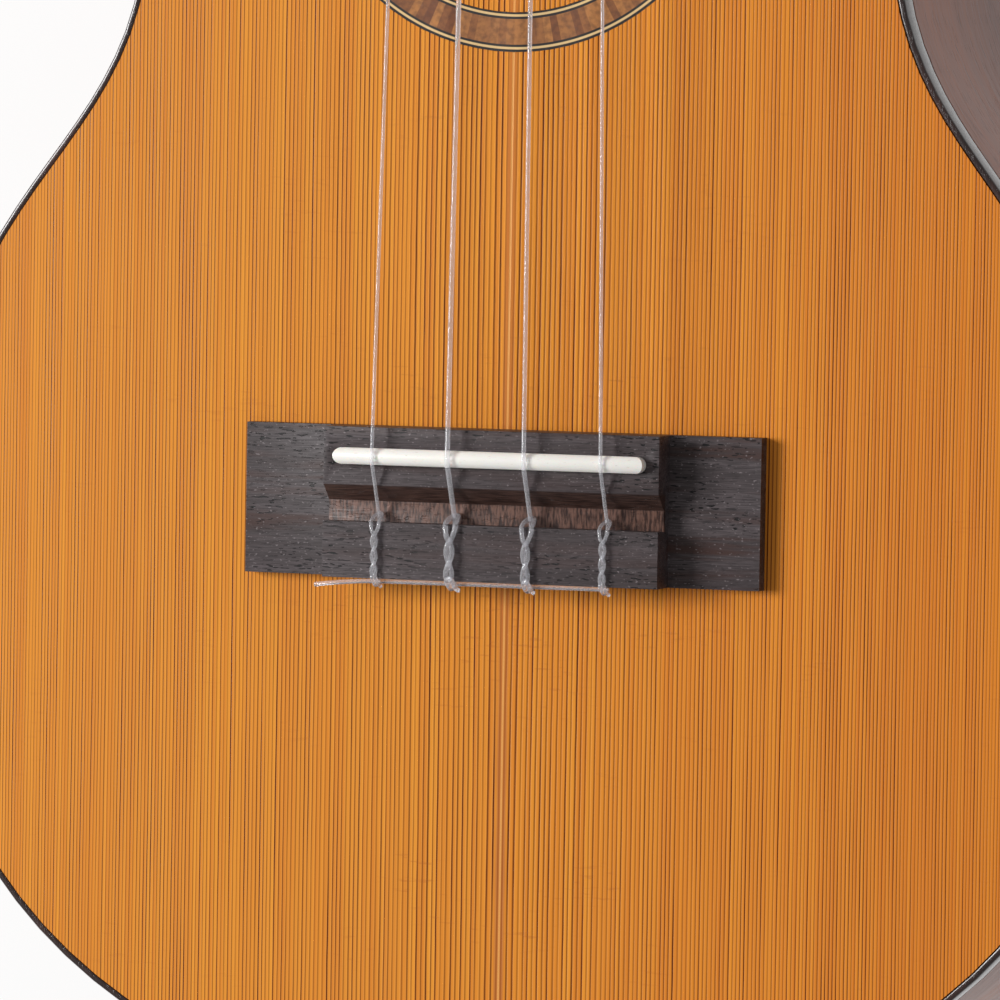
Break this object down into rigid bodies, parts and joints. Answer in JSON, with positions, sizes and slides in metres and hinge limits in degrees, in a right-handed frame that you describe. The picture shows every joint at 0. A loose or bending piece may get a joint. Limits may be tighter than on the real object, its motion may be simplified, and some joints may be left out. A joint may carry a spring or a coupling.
{
  "type": "tenor ukulele",
  "caption": "Small guitar-shaped plucked instrument with a flat soundboard, round sound hole, tie-block bridge and worm-geared tuners, lying on its back.",
  "frame": {"origin": "on the back's outer face, straight below the middle of the saddle", "axes": "+Y from the saddle towards the head, +Z from the back towards the soundboard, +X towards the higher strings' side, to the right when the head points away"},
  "size_m": [0.226, 0.67, 0.0815],
  "materials": {
    "cedar_top": "gloss",
    "mahogany": "gloss",
    "dark_trim": "gloss",
    "bridge_rosewood": "satin",
    "board_rosewood": "satin",
    "inner_spruce": "matte",
    "rosette_wood": "gloss",
    "bone": "satin",
    "pearl": "gloss",
    "fret_metal": "polished",
    "clear_string": "gloss",
    "button_plastic": "gloss",
    "gear_brass": "satin",
    "tuner_metal": "polished"
  },
  "bodies": {
    "instrument": {"soundboard": "cedar_top", "back": "mahogany", "back_strip": "dark_trim", "rib_bass": "mahogany", "rib_treble": "mahogany", "tail_strip": "dark_trim", "linings": "inner_spruce", "top_binding": "dark_trim", "back_binding": "dark_trim", "neck_block": "inner_spruce", "tail_block": "inner_spruce", "rosette": "rosette_wood", "cross_braces": "inner_spruce", "fan_braces": "inner_spruce", "back_braces": "inner_spruce", "bridge_plate": "inner_spruce", "neck": "mahogany", "heel_cap": "dark_trim", "headstock": "mahogany", "head_veneer": "dark_trim", "fingerboard": "board_rosewood", "frets": "fret_metal", "position_dots": "pearl", "nut": "bone", "bridge": "bridge_rosewood", "saddle": "bone", "string_1": "clear_string", "string_2": "clear_string", "string_3": "clear_string", "string_4": "clear_string", "tuner_bushings": "tuner_metal", "plate_screws": "tuner_metal", "tuner_plate_1": "tuner_metal", "tuner_plate_2": "tuner_metal", "tuner_plate_3": "tuner_metal", "tuner_plate_4": "tuner_metal"},
    "worm_1": {"worm_shaft_1": "tuner_metal", "button_1": "button_plastic"},
    "roller_1": {"post_1": "tuner_metal", "gear_1": "gear_brass", "gear_screw_1": "tuner_metal", "winding_1": "clear_string"},
    "worm_2": {"worm_shaft_2": "tuner_metal", "button_2": "button_plastic"},
    "roller_2": {"post_2": "tuner_metal", "gear_2": "gear_brass", "gear_screw_2": "tuner_metal", "winding_2": "clear_string"},
    "worm_3": {"worm_shaft_3": "tuner_metal", "button_3": "button_plastic"},
    "roller_3": {"post_3": "tuner_metal", "gear_3": "gear_brass", "gear_screw_3": "tuner_metal", "winding_3": "clear_string"},
    "worm_4": {"worm_shaft_4": "tuner_metal", "button_4": "button_plastic"},
    "roller_4": {"post_4": "tuner_metal", "gear_4": "gear_brass", "gear_screw_4": "tuner_metal", "winding_4": "clear_string"}
  },
  "joints": [
    {"name": "button_turn_1", "type": "hinge", "parent": "instrument", "child": "worm_1", "pos_m": [-0.017, 0.48232, 0.0437], "axis": [1, 0, 0], "continuous": true},
    {"name": "post_turn_1", "type": "hinge", "parent": "instrument", "child": "roller_1", "pos_m": [-0.017, 0.47469, 0.04532], "axis": [0, 0.2079, 0.9781], "continuous": true},
    {"name": "button_turn_2", "type": "hinge", "parent": "instrument", "child": "worm_2", "pos_m": [-0.017, 0.52145, 0.03539], "axis": [1, 0, 0], "continuous": true},
    {"name": "post_turn_2", "type": "hinge", "parent": "instrument", "child": "roller_2", "pos_m": [-0.017, 0.51382, 0.03701], "axis": [0, 0.2079, 0.9781], "continuous": true},
    {"name": "button_turn_3", "type": "hinge", "parent": "instrument", "child": "worm_3", "pos_m": [0.017, 0.52145, 0.03539], "axis": [1, 0, 0], "continuous": true},
    {"name": "post_turn_3", "type": "hinge", "parent": "instrument", "child": "roller_3", "pos_m": [0.017, 0.51382, 0.03701], "axis": [0, 0.2079, 0.9781], "continuous": true},
    {"name": "button_turn_4", "type": "hinge", "parent": "instrument", "child": "worm_4", "pos_m": [0.017, 0.48232, 0.0437], "axis": [1, 0, 0], "continuous": true},
    {"name": "post_turn_4", "type": "hinge", "parent": "instrument", "child": "roller_4", "pos_m": [0.017, 0.47469, 0.04532], "axis": [0, 0.2079, 0.9781], "continuous": true}
  ],
  "couplings": [
    {"joint": "post_turn_1", "follows": "button_turn_1", "ratio": -0.071429},
    {"joint": "post_turn_2", "follows": "button_turn_2", "ratio": -0.071429},
    {"joint": "post_turn_3", "follows": "button_turn_3", "ratio": 0.071429},
    {"joint": "post_turn_4", "follows": "button_turn_4", "ratio": 0.071429}
  ]
}
